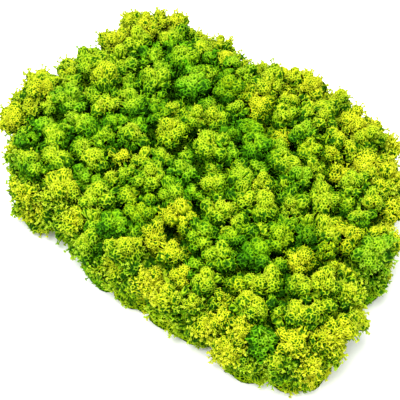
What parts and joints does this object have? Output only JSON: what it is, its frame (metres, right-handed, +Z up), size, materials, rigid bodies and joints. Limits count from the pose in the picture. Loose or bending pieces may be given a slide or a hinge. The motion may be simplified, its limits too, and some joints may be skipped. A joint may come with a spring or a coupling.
{
  "type": "preserved cushion lichen clump",
  "caption": "Flat rounded clump of soft branching lichen, level beneath, its top and sides crowded with rounded cauliflower-like heads in greens and yellows.",
  "frame": {"origin": "on the ground under the middle tuft, at the level of the flat cut underside", "axes": "+X along the clump's longest side, +Y across it, +Z up through its thickness"},
  "size_m": [0.2529, 0.1895, 0.0538],
  "materials": {
    "green_lichen": "soft, matt, dyed leaf green, finely branched, darker inside",
    "lime_lichen": "soft, matt, dyed lime green, finely branched, darker inside",
    "yellow_lichen": "soft, matt, dyed yellow green, finely branched, darker inside"
  },
  "bodies": {
    "root": {"middle_tuft_01": "green_lichen", "middle_tuft_02": "lime_lichen", "middle_tuft_03": "green_lichen", "middle_tuft_04": "lime_lichen", "middle_tuft_05": "lime_lichen", "middle_tuft_06": "lime_lichen", "middle_tuft_07": "lime_lichen", "middle_tuft_08": "lime_lichen", "middle_tuft_09": "green_lichen", "middle_tuft_10": "green_lichen", "middle_tuft_11": "lime_lichen", "middle_tuft_12": "lime_lichen", "middle_tuft_13": "green_lichen", "middle_tuft_14": "lime_lichen", "middle_tuft_15": "green_lichen", "middle_tuft_16": "yellow_lichen", "middle_tuft_17": "lime_lichen", "middle_tuft_18": "lime_lichen", "middle_tuft_19": "lime_lichen", "middle_tuft_20": "lime_lichen", "middle_tuft_21": "green_lichen", "middle_tuft_22": "lime_lichen", "middle_tuft_23": "lime_lichen", "middle_tuft_24": "yellow_lichen", "middle_tuft_25": "green_lichen", "middle_tuft_26": "green_lichen", "middle_tuft_27": "yellow_lichen", "middle_tuft_28": "green_lichen", "middle_tuft_29": "green_lichen", "middle_tuft_30": "lime_lichen", "middle_tuft_31": "lime_lichen", "rim_tuft_01": "lime_lichen", "rim_tuft_02": "lime_lichen", "rim_tuft_03": "lime_lichen", "rim_tuft_04": "lime_lichen", "rim_tuft_05": "lime_lichen", "rim_tuft_06": "lime_lichen", "rim_tuft_07": "lime_lichen", "rim_tuft_08": "lime_lichen", "rim_tuft_09": "yellow_lichen", "rim_tuft_10": "lime_lichen", "rim_tuft_11": "lime_lichen", "rim_tuft_12": "lime_lichen", "rim_tuft_13": "lime_lichen", "rim_tuft_14": "yellow_lichen", "rim_tuft_15": "yellow_lichen", "rim_tuft_16": "lime_lichen", "rim_tuft_17": "lime_lichen", "rim_tuft_18": "lime_lichen", "rim_tuft_19": "lime_lichen", "rim_tuft_20": "lime_lichen", "rim_tuft_21": "lime_lichen", "rim_tuft_22": "lime_lichen", "rim_tuft_23": "lime_lichen"}
  },
  "joints": []
}
